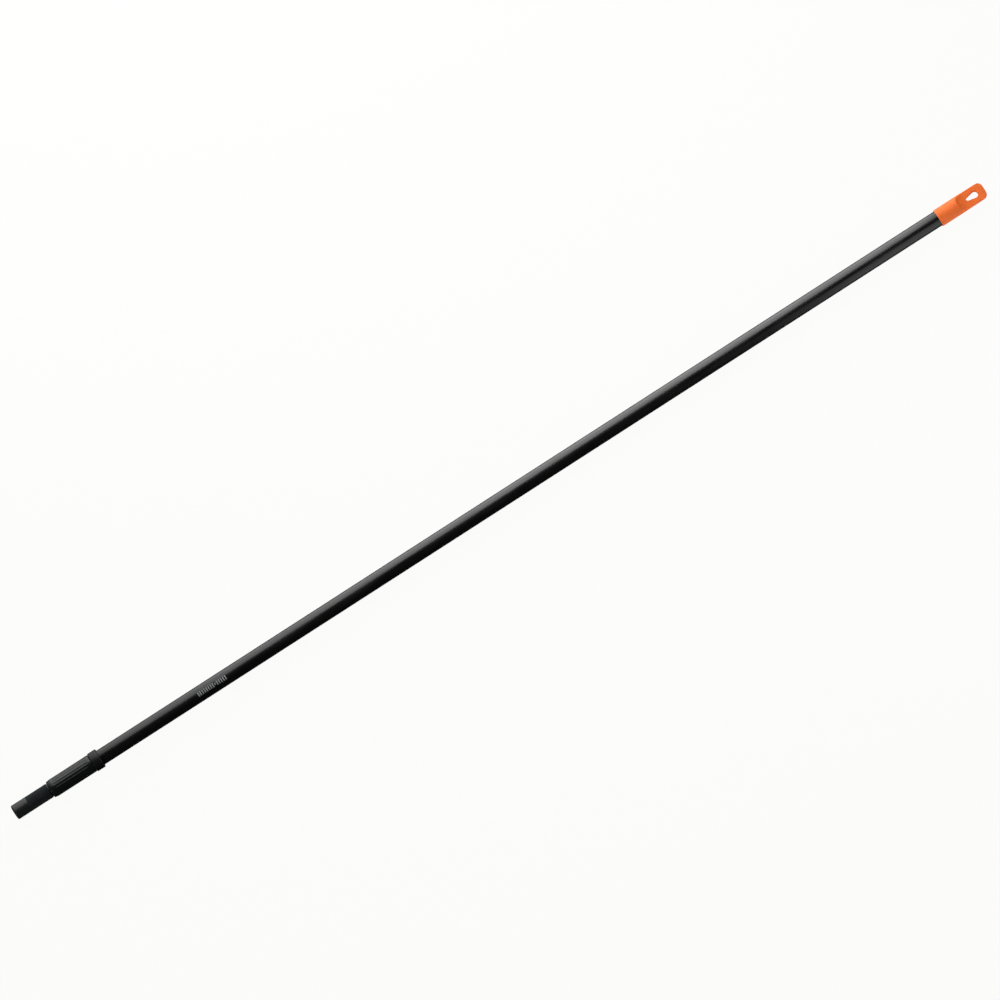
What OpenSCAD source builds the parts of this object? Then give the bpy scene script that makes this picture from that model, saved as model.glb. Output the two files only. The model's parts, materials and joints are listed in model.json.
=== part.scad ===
// Telescopic extension pole for a paint roller, closed and locked.
// The pole lies along X with the tool end towards -X. The origin is on its axis, at the spigot's shoulder.
// Every piece is drawn standing on Z, as on a lathe, and along_pole() lays it down: Z becomes X.

/* [Hand section] */
// Outside diameter of the coated hand tube
hand_d = 22; // [18:0.5:30]
// Plastic skin on the hand tube
hand_skin = 0.35; // [0.2:0.05:0.6]
// Length of the hand tube
hand_length = 1384; // [700:1:2400]
// Steel wall of both tubes
tube_wall = 0.5; // [0.4:0.05:1]

/* [Sliding section] */
// Space between the sliding section and the hand tube's bore, on the radius
section_gap = 0.65; // [0.55:0.05:1.5]
// Plastic skin on the sliding tube
slide_skin = 0.3; // [0.2:0.05:0.5]
// Empty length left behind the sliding section when the pole is closed
rest_gap = 72; // [10:1:200]

/* [Roller spigot] */
// Length of the plain nose
nose_length = 23; // [12:0.5:40]
// Rounding of the nose's front edge
nose_round = 1.6; // [0.5:0.1:4]
// Length of the ribbed sleeve
sleeve_length = 33; // [20:0.5:60]
// Wall of the ribbed sleeve
sleeve_wall = 1.1; // [0.8:0.05:2.5]
// Width of each groove in the sleeve
groove_width = 0.45; // [0.3:0.05:0.45]
// Depth of each groove in the sleeve
groove_depth = 0.25; // [0.1:0.05:0.5]
// Distance from groove to groove
groove_pitch = 3; // [2:0.1:6]

/* [Twist lock] */
// Length of the grip nut
nut_length = 67.1; // [55:0.1:90]
// Wall of the grip nut outside its thread
nut_wall = 1.5; // [1.2:0.1:4]
// Length of the taper at the nut's front
nut_taper = 5.5; // [2:0.5:8]
// Number of flutes round the nut
flute_count = 18; // [8:1:30]
// Depth of each flute
flute_depth = 0.4; // [0.2:0.05:0.6]
// Radius of the cutter that makes a flute
flute_cutter = 2.2; // [1:0.1:5]
// Wall of the lock base under its thread
base_wall = 1.05; // [0.8:0.05:2.5]
// Height of the thread's ridge
thread_height = 0.6; // [0.3:0.05:1.2]
// Advance of the nut in one turn
thread_lead = 6; // [5:0.25:10]
// Turn of the nut from locked to free
release_turn = 180; // [90:5:240]
// Width of the slits between the collet's fingers
slit_width = 1.8; // [1.2:0.1:2.6]
// Length of the flange behind the nut
flange_length = 12.5; // [10:0.5:25]
// Wall of the flange outside the hand tube
flange_wall = 2.85; // [1.5:0.05:6]
// Length of the bush in the hand tube's mouth
bush_length = 28; // [15:1:80]

/* [Hang cap] */
// Whole length of the cap
cap_length = 73.8; // [65:0.1:120]
// Length of the cap's sleeve over the hand tube
cap_cover = 29.5; // [20:0.5:45]
// Wall of the sleeve
cap_wall = 1.5; // [1:0.1:3]
// Thickness of the flat tab
tab_thickness = 9; // [6:0.5:14]
// Length of the hanging slot
slot_length = 18; // [14:0.5:24]
// Width of the hanging slot at its outer end
slot_width = 9.5; // [8:0.5:12]
// Width of the hanging slot at its inner end
slot_tip_width = 5.2; // [4:0.2:8]
// Material left beyond the slot
slot_web = 10.5; // [8:0.5:16]

/* [Clearances] */
// Space round a piece that is pressed or bonded in place
seat_gap = 0.02; // [0:0.01:0.05]
// Space round a piece that slides or turns in another, on the radius
run_gap = 0.05; // [0.03:0.01:0.1]
// Space in the thread, on the radius
thread_gap = 0.1; // [0.05:0.01:0.2]
// Free space between pieces that move past each other
free_gap = 0.3; // [0.2:0.05:0.6]

/* [Hidden] */
$fn = 96;
through = 1; // how far a cut runs past the face it opens

// Radii, from the hand tube inwards
hand_r = hand_d / 2;
hand_core_r = hand_r - hand_skin;
hand_bore_r = hand_core_r - tube_wall;
slide_r = hand_bore_r - section_gap;
slide_core_r = slide_r - slide_skin;
slide_bore_r = slide_core_r - tube_wall;

// The spigot ends at the origin, and the sliding tube starts behind the nose
spigot_r = slide_r + sleeve_wall;
tube_front = -sleeve_length;
nose_front = tube_front - nose_length;
nose_shank = 27;
pin_r = 1.5;
pin_sink = 0.12;

// Lock, from the front of the nut to the back of the flange
nut_front = 1.5;
nut_back = nut_front + nut_length;
flange_front = nut_back + 0.4;
flange_back = flange_front + flange_length;
base_bore_r = slide_r + run_gap;
root_r = base_bore_r + base_wall;
crest_r = root_r + thread_height;
nut_root_r = crest_r + thread_gap;
nut_crest_r = root_r + thread_gap;
nut_r = nut_root_r + nut_wall;
nut_round = 1.2;
nut_front_round = 0.5;
nut_front_r = nut_r - 0.9;
nut_throat_r = slide_r + 0.5;
mouth_depth = thread_lead * release_turn / 360 + 2;
lip = 1;
wiper_depth = 3;
thrust_wall = 2;
pocket_r = nut_root_r - 0.1;
pocket_front = nut_front + mouth_depth + lip;
pocket_back = pocket_front + wiper_depth;
chamber_front = pocket_back + thrust_wall;

// Wedge ring and collet fingers share one taper
wedge_front = chamber_front + free_gap;
wedge_web = 1.4;
finger_front = wedge_front + wedge_web + free_gap;
taper_length = 7;
finger_tip_r = base_bore_r + 0.35;
taper_slope = (root_r - finger_tip_r) / taper_length;
wedge_back = finger_front + taper_length + 0.5;
wedge_r = nut_root_r - 0.08;
wedge_bore_r = slide_r + free_gap;
lug_width = slit_width - 2 * free_gap;
lug_length = 6;
slit_back = finger_front + 13;
clip_width = 0.9;
clip_front = wedge_back + free_gap;
clip_groove_r = nut_root_r + 0.4;
clip_bore_r = root_r + free_gap;
clip_gap = 3;

// Thread ridges: the base's is fixed, and the nut's lies half a lead from it
ridge_root = thread_lead * 0.45;
ridge_crest = thread_lead * 0.33;
ridge_embed = 0.3;
ridge_steps = 36;
base_thread_front = slit_back + 4;
base_thread_turns = 4;
nut_thread_turns = 2.5;
nut_thread_front = base_thread_front + 1.5 * thread_lead;

// Hand tube, its bush and its pins
socket_r = hand_r + seat_gap;
socket_floor = flange_front + 1.8;
bush_flange = 1;
tube_mouth = socket_floor + bush_flange + 2 * seat_gap;
tube_end = tube_mouth + hand_length;
bush_bore_r = slide_r + 2 * run_gap;
bush_back = tube_mouth + bush_length;
base_pin_r = 1.25;
base_pin_z = (tube_mouth + flange_back) / 2;
base_pin_head_r = hand_r + flange_wall - 0.3;

// Hang cap
cap_front = tube_end - cap_cover;
cap_back = cap_front + cap_length;
cap_r = hand_r + cap_wall;
cap_neck_r = cap_r - 0.4;
cap_round = 7;
cap_plug = 24;
cap_plug_wall = 1.8;
cap_plug_front = tube_end - cap_plug;
tab_run_out = 12;
slot_r = slot_width / 2;
slot_tip_r = slot_tip_width / 2;
slot_back = cap_back - slot_web;
slot_front = slot_back - slot_length;
slot_side_tilt = asin((slot_r - slot_tip_r) / (slot_length - slot_r - slot_tip_r));
tab_start = slot_front - 2.5;

// Buried end of the sliding section
end_head = 20;
slide_back = cap_plug_front - rest_gap - end_head;
end_shank = 30;
end_head_r = hand_bore_r - free_gap;
end_core_r = slide_bore_r - 2.2;
ring_width = 10;
ring_front = slide_back + 4;
ring_seat_r = slide_core_r - 0.4;
ring_play = 0.1;
ring_gap = 3;

// Printed mark: a row of bars round the side that faces up, one of them short
mark_front = 239;
mark_film = 0.06;
mark_bar = 1.7;
mark_step = 3.3;
mark_bars = 14;
mark_short_bar = 8;
mark_turn = 8;

// Lays a piece that stands on Z along the pole
module along_pole() {
    rotate([0, 90, 0])
        children();
}

// A plain ring or length of tube between two heights
module tube_length(inner_r, outer_r, from, to) {
    difference() {
        translate([0, 0, from])
            cylinder(r = outer_r, h = to - from);
        translate([0, 0, from - through])
            cylinder(r = inner_r, h = to - from + 2 * through);
    }
}

// A round hole or pin straight across the pole, from one side to the other
module cross_pin(r, half_length, z) {
    translate([0, 0, z])
        rotate([90, 0, 0])
            cylinder(r = r, h = 2 * half_length, center = true);
}

// Points of a quarter round for an outline of [radius, height] pairs
function quarter(centre_r, centre_z, r, from, steps = 6) =
    [for (i = [0:steps]) [centre_r + r * cos(from + 90 * i / steps), centre_z + r * sin(from + 90 * i / steps)]];

// Corners of one step of a helical ridge
function ridge_ring(step, inner_r, outer_r, inner_w, outer_w, front) =
    let (turn = 360 * step / ridge_steps)
    let (z = front + thread_lead * step / ridge_steps)
    [for (corner = [[inner_r, -inner_w], [outer_r, -outer_w], [outer_r, outer_w], [inner_r, inner_w]])
        [corner[0] * cos(turn), corner[0] * sin(turn), z + corner[1] / 2]];

// A helical ridge, wider at inner_w than at outer_w or the other way round
module ridge(inner_r, outer_r, inner_w, outer_w, front, turns) {
    steps = floor(turns * ridge_steps);
    rings = [for (i = [0:steps]) each ridge_ring(i, inner_r, outer_r, inner_w, outer_w, front)];
    sides = [for (i = [0:steps - 1], k = [0:3])
        let (a = 4 * i + k)
        let (b = 4 * i + (k + 1) % 4)
        each [[a, b, b + 4], [a, b + 4, a + 4]]];
    last = 4 * steps;
    ends = [[0, 3, 2], [0, 2, 1], [last, last + 1, last + 2], [last, last + 2, last + 3]];
    polyhedron(points = rings, faces = concat(sides, ends), convexity = 6);
}

module outer_tube() {
    color("#8d8f92")
        along_pole()
            difference() {
                tube_length(hand_bore_r, hand_core_r, tube_mouth, tube_end);
                cross_pin(base_pin_r + seat_gap, hand_r, base_pin_z);
            }
}

module outer_coating() {
    color("#141517")
        along_pole()
            difference() {
                tube_length(hand_core_r, hand_r, tube_mouth, tube_end);
                cross_pin(base_pin_r + seat_gap, hand_r + through, base_pin_z);
            }
}

// One bar of the mark, as a film on the tube's skin
module mark_piece(from, length, half_angle) {
    translate([0, 0, from])
        rotate([0, 0, 180 + mark_turn - half_angle])
            rotate_extrude(angle = 2 * half_angle)
                translate([hand_r, 0])
                    square([mark_film, length]);
}

module printed_mark() {
    color("#a9acad")
        along_pole()
            for (i = [0:mark_bars - 1])
                mark_piece(mark_front + i * mark_step, mark_bar, i == mark_short_bar ? 8 : 16);
}

// One point where the slot's straight side meets a round end
function slot_corner(z, r, side) = [-(z - r * sin(slot_side_tilt)), side * r * cos(slot_side_tilt)];

// The slot through the tab, with round ends and its narrow one towards the tube
module slot_cut() {
    tip_z = slot_front + slot_tip_r;
    wide_z = slot_back - slot_r;
    rotate([0, 90, 0])
        linear_extrude(height = 2 * cap_r, center = true)
            union() {
                translate([-tip_z, 0])
                    circle(r = slot_tip_r);
                translate([-wide_z, 0])
                    circle(r = slot_r);
                polygon([slot_corner(tip_z, slot_tip_r, -1), slot_corner(wide_z, slot_r, -1),
                    slot_corner(wide_z, slot_r, 1), slot_corner(tip_z, slot_tip_r, 1)]);
            }
}

// The relief on one side of the tab, with its curved run-out
module tab_relief() {
    half = tab_thickness / 2;
    translate([half + tab_run_out, 0, tab_start])
        rotate([90, 0, 0])
            cylinder(r = tab_run_out, h = 2 * cap_r + 2 * through, center = true);
    translate([half, -cap_r - through, tab_start])
        cube([cap_r, 2 * (cap_r + through), cap_back - tab_start + through]);
}

module hang_cap() {
    edge = 0.6;
    outline = concat(
        [[0, cap_front + cap_cover], [hand_r, cap_front + cap_cover], [hand_r, cap_front]],
        quarter(cap_r - edge, cap_front + edge, edge, -90),
        [[cap_r, tube_end + 2]],
        quarter(cap_neck_r - cap_round, cap_back - cap_round, cap_round, 0),
        [[0, cap_back]]);
    color("#e2682f")
        along_pole()
            difference() {
                union() {
                    difference() {
                        rotate_extrude()
                            polygon(outline);
                        tube_length(0, socket_r, cap_front - through, tube_end);
                    }
                    tube_length(hand_bore_r - seat_gap - cap_plug_wall, hand_bore_r - seat_gap,
                        cap_plug_front, tube_end + through);
                }
                for (side = [0, 1])
                    mirror([side, 0, 0])
                        tab_relief();
                slot_cut();
            }
}

module lock_base() {
    edge = 0.8;
    flange_r = hand_r + flange_wall;
    outline = concat(
        [[base_bore_r, finger_front], [finger_tip_r, finger_front],
            [root_r, finger_front + taper_length], [root_r, flange_front]],
        quarter(flange_r - edge, flange_front + edge, edge, -90),
        quarter(flange_r - edge, flange_back - edge, edge, 0),
        [[socket_r, flange_back], [socket_r, socket_floor], [base_bore_r, socket_floor]]);
    color("#1b1c1e")
        along_pole()
            union() {
                difference() {
                    rotate_extrude()
                        polygon(outline);
                    for (turn = [0, 90])
                        rotate([0, 0, turn])
                            translate([-slit_width / 2, -root_r - through, finger_front - through])
                                cube([slit_width, 2 * (root_r + through), slit_back - finger_front + through]);
                    for (turn = [0, 90])
                        rotate([0, 0, turn])
                            cross_pin(slit_width / 2 + free_gap, root_r + through, slit_back);
                    cross_pin(base_pin_r + seat_gap, flange_r + through, base_pin_z);
                }
                ridge(root_r - ridge_embed, crest_r, ridge_root, ridge_crest, base_thread_front,
                    base_thread_turns);
            }
}

module base_pins() {
    color("#b9bbbd")
        along_pole()
            difference() {
                cross_pin(base_pin_r, base_pin_head_r, base_pin_z);
                cylinder(r = hand_bore_r + seat_gap, h = 2 * base_pin_z);
            }
}

module mouth_bush() {
    color("#d9d8d0")
        along_pole()
            union() {
                tube_length(bush_bore_r, hand_bore_r - seat_gap, tube_mouth - bush_flange / 2, bush_back);
                tube_length(bush_bore_r, hand_core_r, socket_floor + seat_gap, tube_mouth - seat_gap);
            }
}

module wedge_ring() {
    tip_r = finger_tip_r + run_gap;
    color("#c9c6ba")
        along_pole()
            union() {
                rotate_extrude()
                    polygon([[wedge_bore_r, wedge_front], [wedge_r, wedge_front], [wedge_r, wedge_back],
                        [tip_r + taper_slope * (wedge_back - finger_front), wedge_back], [tip_r, finger_front],
                        [wedge_bore_r, finger_front - free_gap]]);
                intersection() {
                    tube_length(wedge_bore_r, wedge_r - free_gap, wedge_front + wedge_web / 2,
                        finger_front + lug_length);
                    for (turn = [0, 90])
                        rotate([0, 0, turn])
                            translate([-lug_width / 2, -wedge_r, wedge_front])
                                cube([lug_width, 2 * wedge_r, 2 * lug_length]);
                }
            }
}

module lock_nut() {
    outline = concat(
        [[pocket_r, nut_front]],
        quarter(nut_front_r - nut_front_round, nut_front + nut_front_round, nut_front_round, -90),
        [[nut_r, nut_front + nut_taper]],
        quarter(nut_r - nut_round, nut_back - nut_round, nut_round, 0),
        [[nut_root_r, nut_back], [nut_root_r, clip_front + clip_width + 2 * seat_gap],
            [clip_groove_r, clip_front + clip_width + 2 * seat_gap], [clip_groove_r, clip_front - seat_gap],
            [nut_root_r, clip_front - seat_gap], [nut_root_r, chamber_front], [nut_throat_r, chamber_front],
            [nut_throat_r, pocket_back], [pocket_r, pocket_back], [pocket_r, pocket_front],
            [nut_throat_r, pocket_front], [nut_throat_r, pocket_front - lip],
            [pocket_r, pocket_front - lip]]);
    flute_front = nut_front + 9;
    flute_back = nut_back - 6;
    color("#1e2325")
        along_pole()
            union() {
                difference() {
                    rotate_extrude()
                        polygon(outline);
                    for (i = [0:flute_count - 1])
                        rotate([0, 0, 360 * (i + 0.5) / flute_count])
                            translate([nut_r - flute_depth + flute_cutter, 0, flute_front])
                                cylinder(r = flute_cutter, h = flute_back - flute_front);
                }
                ridge(nut_crest_r, nut_root_r + ridge_embed, ridge_crest, ridge_root,
                    nut_thread_front, nut_thread_turns);
            }
}

module nut_clip() {
    color("#b9bbbd")
        along_pole()
            difference() {
                tube_length(clip_bore_r, clip_groove_r - run_gap, clip_front, clip_front + clip_width);
                translate([0, -clip_gap / 2, clip_front - through])
                    cube([nut_r, clip_gap, clip_width + 2 * through]);
            }
}

module wiper_ring() {
    color("#55524c")
        along_pole()
            tube_length(slide_r + run_gap, pocket_r - run_gap, pocket_front + seat_gap, pocket_back - seat_gap);
}

module guide_ring() {
    color("#d9d8d0")
        along_pole()
            difference() {
                tube_length(ring_seat_r + run_gap, hand_bore_r - run_gap, ring_front, ring_front + ring_width);
                translate([0, -ring_gap / 2, ring_front - through])
                    cube([hand_r, ring_gap, ring_width + 2 * through]);
            }
}

module inner_tube() {
    color("#8d8f92")
        along_pole()
            difference() {
                tube_length(slide_bore_r, slide_core_r, tube_front, slide_back);
                for (z = [tube_front + nose_shank / 2, slide_back - end_shank / 2])
                    cross_pin(pin_r + seat_gap, slide_r, z);
            }
}

module inner_coating() {
    color("#141517")
        along_pole()
            difference() {
                tube_length(slide_core_r, slide_r, tube_front, slide_back);
                for (z = [tube_front + nose_shank / 2, slide_back - end_shank / 2])
                    cross_pin(pin_r + seat_gap, slide_r + through, z);
            }
}

module nose_plug() {
    shank_r = slide_bore_r - seat_gap;
    outline = concat(
        [[0, nose_front]],
        quarter(spigot_r - nose_round, nose_front + nose_round, nose_round, -90),
        [[spigot_r, tube_front - seat_gap], [shank_r, tube_front - seat_gap],
            [shank_r, tube_front + nose_shank - nose_round], [shank_r - nose_round, tube_front + nose_shank],
            [0, tube_front + nose_shank]]);
    color("#2a2b2d")
        along_pole()
            difference() {
                rotate_extrude()
                    polygon(outline);
                cross_pin(pin_r + seat_gap, slide_r, tube_front + nose_shank / 2);
            }
}

module spigot_sleeve() {
    grooves = floor((sleeve_length - groove_pitch) / groove_pitch);
    first_groove = tube_front + (sleeve_length - (grooves - 1) * groove_pitch) / 2;
    color("#232829")
        along_pole()
            difference() {
                tube_length(slide_r + seat_gap, spigot_r, tube_front, 0);
                for (i = [0:grooves - 1])
                    tube_length(spigot_r - groove_depth, spigot_r + through,
                        first_groove + i * groove_pitch - groove_width / 2,
                        first_groove + i * groove_pitch + groove_width / 2);
            }
}

module nose_pin() {
    color("#b9bbbd")
        along_pole()
            cross_pin(pin_r, slide_r - pin_sink, tube_front + nose_shank / 2);
}

module end_plug() {
    shank_r = slide_bore_r - seat_gap;
    ring_back = ring_front + ring_width;
    outline = [[end_core_r, slide_back - end_shank], [shank_r - 1, slide_back - end_shank],
        [shank_r, slide_back - end_shank + 1], [shank_r, slide_back + seat_gap],
        [end_head_r, slide_back + seat_gap], [end_head_r, ring_front - ring_play],
        [ring_seat_r, ring_front - ring_play], [ring_seat_r, ring_back + ring_play],
        [end_head_r, ring_back + ring_play], [end_head_r, slide_back + end_head - 1],
        [end_head_r - 1, slide_back + end_head], [0, slide_back + end_head],
        [0, slide_back + end_head - 2], [end_core_r, slide_back + end_head - 2]];
    color("#c9c6ba")
        along_pole()
            difference() {
                rotate_extrude()
                    polygon(outline);
                cross_pin(pin_r + seat_gap, slide_r, slide_back - end_shank / 2);
            }
}

module plug_pin() {
    color("#b9bbbd")
        along_pole()
            cross_pin(pin_r, slide_r - pin_sink, slide_back - end_shank / 2);
}

outer_tube();
outer_coating();
printed_mark();
hang_cap();
lock_base();
base_pins();
mouth_bush();
wedge_ring();
lock_nut();
nut_clip();
wiper_ring();
guide_ring();
inner_tube();
inner_coating();
nose_plug();
spigot_sleeve();
nose_pin();
end_plug();
plug_pin();
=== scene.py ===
"""Telescopic extension pole for a paint roller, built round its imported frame.

The pole lies along X with the tool end towards -X. Its hand section stays still, and the twist lock and
the sliding section ride on their own bodies.
"""

import json
import math

import bmesh
import bpy
from bpy.props import FloatProperty, FloatVectorProperty, IntProperty, PointerProperty
from mathutils import Matrix, Vector

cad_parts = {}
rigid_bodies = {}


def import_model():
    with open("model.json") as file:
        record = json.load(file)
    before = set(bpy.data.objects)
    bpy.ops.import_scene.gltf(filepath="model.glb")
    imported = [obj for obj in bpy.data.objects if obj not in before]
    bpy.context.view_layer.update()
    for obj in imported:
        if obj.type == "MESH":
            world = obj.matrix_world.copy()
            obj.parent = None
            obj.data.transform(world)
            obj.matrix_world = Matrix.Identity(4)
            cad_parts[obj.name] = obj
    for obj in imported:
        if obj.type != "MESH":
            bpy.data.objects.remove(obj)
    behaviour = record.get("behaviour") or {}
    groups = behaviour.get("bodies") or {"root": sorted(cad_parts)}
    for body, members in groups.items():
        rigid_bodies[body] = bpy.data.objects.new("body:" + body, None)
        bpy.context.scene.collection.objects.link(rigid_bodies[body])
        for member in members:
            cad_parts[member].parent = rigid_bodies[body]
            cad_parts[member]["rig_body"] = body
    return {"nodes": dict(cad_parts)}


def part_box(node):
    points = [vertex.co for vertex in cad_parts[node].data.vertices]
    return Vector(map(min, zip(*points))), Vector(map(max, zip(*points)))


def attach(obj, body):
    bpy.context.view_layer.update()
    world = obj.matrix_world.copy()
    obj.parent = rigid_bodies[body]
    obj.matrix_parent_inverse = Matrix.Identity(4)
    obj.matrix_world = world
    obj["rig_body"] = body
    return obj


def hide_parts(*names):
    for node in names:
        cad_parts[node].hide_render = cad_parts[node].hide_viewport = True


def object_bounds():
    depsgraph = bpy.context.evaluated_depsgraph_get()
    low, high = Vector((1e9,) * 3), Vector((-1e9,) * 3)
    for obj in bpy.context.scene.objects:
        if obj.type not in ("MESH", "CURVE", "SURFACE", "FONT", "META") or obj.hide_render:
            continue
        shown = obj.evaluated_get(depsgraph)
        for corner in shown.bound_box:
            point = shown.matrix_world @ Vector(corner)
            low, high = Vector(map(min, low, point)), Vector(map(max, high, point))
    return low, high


bl_info = {
    "name": "Roller extension pole",
    "version": (1, 0, 0),
    "blender": (4, 5, 0),
    "location": "View3D > Sidebar > Pole",
    "description": "Builds the visible pieces of a telescopic roller pole round its frame",
    "category": "Object",
}

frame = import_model()
cad_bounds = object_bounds()

MM = 0.001


# Sizes read from the frame, in metres

def start_of(node):
    """Where a node begins along the pole."""
    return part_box(node)[0].x


def end_of(node):
    """Where a node ends along the pole."""
    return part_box(node)[1].x


def radius_of(node):
    """A round node's outside radius."""
    low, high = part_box(node)
    return max(-low.z, high.z)


def hex_colour(code):
    """An sRGB hex colour as linear red, green and blue."""
    shares = [int(code[i:i + 2], 16) / 255 for i in (1, 3, 5)]
    return tuple(s / 12.92 if s <= 0.04045 else ((s + 0.055) / 1.055) ** 2.4 for s in shares)


def colour_property(name, description, code):
    return FloatVectorProperty(name=name, description=description, subtype="COLOR", size=3, min=0, max=1,
                               default=hex_colour(code))


def length_property(name, description, mm, low, high):
    return FloatProperty(name=name, description=description, unit="LENGTH", subtype="DISTANCE", precision=5,
                         default=mm * MM, min=low * MM, max=high * MM)


class PoleSizes(bpy.types.PropertyGroup):
    """Sizes of the visible detail; everything else comes from the frame."""

    columns: IntProperty(name="Columns", description="Facets round each turned piece", default=96, min=32,
                         max=256)
    tube_edge: length_property("Cut edge", "Rounding of the tubes' cut ends", 0.12, 0.02, 0.2)
    flutes: IntProperty(name="Flutes", description="Flutes round the grip nut", default=18, min=6, max=36)
    flute_depth: length_property("Flute depth", "Depth of a flute at its middle", 0.4, 0.1, 0.8)
    flute_front: length_property("Plain band", "Plain band in front of the flutes", 9.0, 3.0, 20.0)
    flute_back: length_property("Rear band", "Plain band behind the flutes", 6.0, 2.0, 20.0)
    thread_lead: length_property("Thread lead", "Advance of the grip nut in one turn", 6.0, 2.0, 12.0)
    thread_height: length_property("Thread height", "Height of the thread's ridge", 0.6, 0.2, 1.5)
    rib_pitch: length_property("Rib pitch", "Distance between the spigot sleeve's grooves", 3.0, 2.0, 6.0)
    rib_groove: length_property("Groove width", "Width of a groove in the spigot sleeve", 0.45, 0.3, 1.4)
    rib_depth: length_property("Groove depth", "Depth of a groove in the spigot sleeve", 0.25, 0.1, 0.5)
    tab_half: length_property("Half tab", "Half the thickness of the hang cap's tab", 4.5, 3.0, 7.0)
    tab_edge: length_property("Tab edge", "Rounding of the tab's edges", 1.0, 0.3, 2.0)
    slot_rim: length_property("Slot rim", "Rounding round the hanging slot", 0.6, 0.2, 1.5)


class PoleColours(bpy.types.PropertyGroup):
    """Colours of the pole's materials."""

    skin: colour_property("Tube skin", "Extruded skin on both tubes", "#050506")
    cap: colour_property("Hang cap", "Moulded hang cap", "#dc6628")
    nut: colour_property("Grip nut", "Moulded grip nut", "#070909")
    base: colour_property("Lock base", "Moulded lock base and its flange", "#060606")
    sleeve: colour_property("Spigot sleeve", "Soft ribbed sleeve of the spigot", "#171a1b")
    nose: colour_property("Nose", "Moulded nose of the spigot", "#141516")
    print: colour_property("Print", "Printed bars on the tube", "#8a8d8e")
    nylon: colour_property("Nylon", "Natural nylon of the inner pieces", "#d8d3c4")
    steel: colour_property("Steel", "Drawn steel of tubes and pins", "#a9abad")
    felt: colour_property("Felt", "Felt of the wiper ring", "#57534b")
    floor: colour_property("Floor", "Studio floor", "#fbfbfa")


def sizes():
    return bpy.context.scene.pole_sizes


def colours():
    return bpy.context.scene.pole_colours


# Materials

# The sockets of a colour mix, which share their names with the node's other kinds
MIX_FIRST_COLOUR, MIX_SECOND_COLOUR, MIX_COLOUR_RESULT = 6, 7, 2


def add_node(tree, kind, settings=None, **values):
    """Adds a node. settings are its own attributes; values are its inputs: numbers, or sockets to link."""
    node = tree.nodes.new(kind)
    for name, value in (settings or {}).items():
        setattr(node, name, value)
    for name, value in values.items():
        socket = node.inputs[name.replace("_", " ")]
        if isinstance(value, bpy.types.NodeSocket):
            tree.links.new(value, socket)
        else:
            socket.default_value = value
    return node


def new_surface(name, **values):
    """A material with one principled shader, and its node tree and shader."""
    material = bpy.data.materials.new(name)
    material.use_nodes = True
    tree = material.node_tree
    shader = tree.nodes["Principled BSDF"]
    for key, value in values.items():
        shader.inputs[key.replace("_", " ")].default_value = value
    return material, tree, shader


def stretched_noise(tree, along_mm, across_mm, detail=2.0, roughness=0.5):
    """Noise whose grains are along_mm long on the pole's axis and across_mm wide round it."""
    place = add_node(tree, "ShaderNodeTexCoord")
    scale = (1 / (along_mm * MM), 1 / (across_mm * MM), 1 / (across_mm * MM))
    mapping = add_node(tree, "ShaderNodeMapping", Vector=place.outputs["Object"], Scale=scale)
    noise = add_node(tree, "ShaderNodeTexNoise", Vector=mapping.outputs["Vector"], Scale=1.0, Detail=detail,
                     Roughness=roughness)
    return noise.outputs["Fac"]


def spread(tree, value, low, high, from_low=0.3, from_high=0.7):
    """Maps a noise value to a range."""
    node = add_node(tree, "ShaderNodeMapRange", Value=value, From_Min=from_low, From_Max=from_high,
                    To_Min=low, To_Max=high)
    return node.outputs["Result"]


def paler(colour, lift):
    """The colour with each channel multiplied, up to white."""
    return tuple(min(1.0, c * lift) for c in colour)


def tint(tree, base, colour, amount):
    """Takes a base, which is a colour or a socket, towards a colour."""
    mix = add_node(tree, "ShaderNodeMix", {"data_type": "RGBA"}, Factor=amount)
    if isinstance(base, bpy.types.NodeSocket):
        tree.links.new(base, mix.inputs[MIX_FIRST_COLOUR])
    else:
        mix.inputs[MIX_FIRST_COLOUR].default_value = (*base, 1)
    mix.inputs[MIX_SECOND_COLOUR].default_value = (*colour, 1)
    return mix.outputs[MIX_COLOUR_RESULT]


def mottle(tree, colour, value, lift):
    """The colour, and a lighter one where value is high."""
    return tint(tree, colour, paler(colour, lift), value)


# The noise values at which a rub begins and is at its fullest
RUB_START, RUB_FULL = 0.62, 0.74


def rubs(tree, along_mm, across_mm):
    """Sparse rubbed places: 0 on nearly all of the surface, up to 1 in the middle of a rub.

    Real rubs are a hair wide, and they are drawn coarser so that they show.
    """
    noise = stretched_noise(tree, along_mm, across_mm, detail=3.0, roughness=0.6)
    return spread(tree, noise, 0, 1, RUB_START, RUB_FULL)


def rubbed(tree, roughness, rubbed_roughness, amount):
    """The roughness, taken towards another one where the surface is rubbed."""
    return add_node(tree, "ShaderNodeMix", Factor=amount, A=roughness, B=rubbed_roughness).outputs["Result"]


def bump(tree, height, depth_mm, normal=None):
    """Relief of that depth from a height of 0 to 1."""
    values = {"Height": height, "Distance": depth_mm * MM, "Strength": 1.0}
    if normal is not None:
        values["Normal"] = normal
    return add_node(tree, "ShaderNodeBump", **values).outputs["Normal"]


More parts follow.
